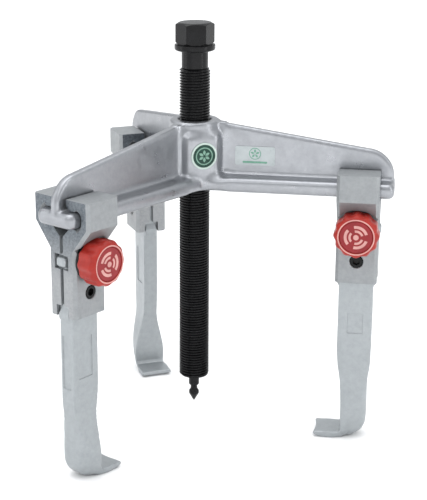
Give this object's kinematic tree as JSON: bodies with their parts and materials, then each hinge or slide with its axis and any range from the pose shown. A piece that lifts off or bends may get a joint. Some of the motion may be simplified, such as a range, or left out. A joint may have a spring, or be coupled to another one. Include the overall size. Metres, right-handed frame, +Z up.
{
  "type": "gear puller",
  "caption": "Three-arm gear puller: threaded hub, sliding clamp jaws with thin hooked feet, red locking knobs and a hexagon-headed forcing screw with a centre point.",
  "frame": {"origin": "centre of the flat top face of the forcing screw's hexagon, on the screw's axis", "axes": "+Z up along the forcing screw, +X along arm a; arm c is 120 degrees counter-clockwise from it and arm b clockwise"},
  "size_m": [0.2336, 0.2619, 0.303],
  "materials": {
    "beam_steel": "satin zinc-plated forging",
    "cheek_steel": "satin zinc-plated forging",
    "hook_steel": "satin zinc-plated forging",
    "black_steel": "black oxide, lightly oiled",
    "bright_steel": "turned",
    "knob_red": "moulded, semi-gloss",
    "cap_red": "moulded, satin",
    "label_pale": "foil label",
    "badge_green": "foil label"
  },
  "bodies": {
    "crossbeam": {"crossbeam": "beam_steel", "hub_badge": "badge_green", "arm_label": "label_pale"},
    "tip": {"centre_tip": "bright_steel"},
    "screw": {"forcing_screw": "black_steel"},
    "jaw_a": {"knob_cheek_a": "cheek_steel", "hook_a": "hook_steel", "knob_washer_a": "black_steel", "lock_screw_a": "black_steel"},
    "back_cheek_a": {"back_cheek_a": "cheek_steel"},
    "knob_a": {"knob_a": "knob_red", "knob_cap_a": "cap_red", "clamp_screw_a": "bright_steel"},
    "jaw_b": {"knob_cheek_b": "cheek_steel", "hook_b": "hook_steel", "knob_washer_b": "black_steel", "lock_screw_b": "black_steel"},
    "back_cheek_b": {"back_cheek_b": "cheek_steel"},
    "knob_b": {"knob_b": "knob_red", "knob_cap_b": "cap_red", "clamp_screw_b": "bright_steel"},
    "jaw_c": {"knob_cheek_c": "cheek_steel", "hook_c": "hook_steel", "knob_washer_c": "black_steel", "lock_screw_c": "black_steel"},
    "back_cheek_c": {"back_cheek_c": "cheek_steel"},
    "knob_c": {"knob_c": "knob_red", "knob_cap_c": "cap_red", "clamp_screw_c": "bright_steel"}
  },
  "joints": [
    {"name": "screw_feed", "type": "slide", "parent": "crossbeam", "child": "tip", "axis": [0, 0, 1], "range_m": [-0.034, 0.142]},
    {"name": "screw_turn", "type": "hinge", "parent": "tip", "child": "screw", "pos_m": [0, 0, 0], "axis": [0, 0, 1], "range_deg": [-6120, 25560]},
    {"name": "jaw_a_slide", "type": "slide", "parent": "crossbeam", "child": "jaw_a", "axis": [1, 0, 0], "range_m": [-0.067, 0.009]},
    {"name": "knob_a_turn", "type": "hinge", "parent": "jaw_a", "child": "knob_a", "pos_m": [0.1185, 0, -0.1425], "axis": [0, -1, 0], "range_deg": [0, 230]},
    {"name": "back_cheek_a_open", "type": "slide", "parent": "jaw_a", "child": "back_cheek_a", "axis": [0, 1, 0], "range_m": [0, 0.0008]},
    {"name": "jaw_b_slide", "type": "slide", "parent": "crossbeam", "child": "jaw_b", "axis": [-0.5, -0.866, 0], "range_m": [-0.0695, 0.0065]},
    {"name": "knob_b_turn", "type": "hinge", "parent": "jaw_b", "child": "knob_b", "pos_m": [-0.0605, -0.10479, -0.1425], "axis": [0.866, -0.5, 0], "range_deg": [0, 230]},
    {"name": "back_cheek_b_open", "type": "slide", "parent": "jaw_b", "child": "back_cheek_b", "axis": [-0.866, 0.5, 0], "range_m": [0, 0.0008]},
    {"name": "jaw_c_slide", "type": "slide", "parent": "crossbeam", "child": "jaw_c", "axis": [-0.5, 0.866, 0], "range_m": [-0.0648, 0.0112]},
    {"name": "knob_c_turn", "type": "hinge", "parent": "jaw_c", "child": "knob_c", "pos_m": [-0.05815, 0.10072, -0.1425], "axis": [-0.866, -0.5, 0], "range_deg": [0, 230]},
    {"name": "back_cheek_c_open", "type": "slide", "parent": "jaw_c", "child": "back_cheek_c", "axis": [0.866, 0.5, 0], "range_m": [0, 0.0008]}
  ],
  "couplings": [
    {"joint": "screw_feed", "follows": "screw_turn", "m_per_rad": 0.00031831},
    {"joint": "back_cheek_a_open", "follows": "knob_a_turn", "m_per_rad": 0.00019894},
    {"joint": "back_cheek_b_open", "follows": "knob_b_turn", "m_per_rad": 0.00019894},
    {"joint": "back_cheek_c_open", "follows": "knob_c_turn", "m_per_rad": 0.00019894}
  ]
}
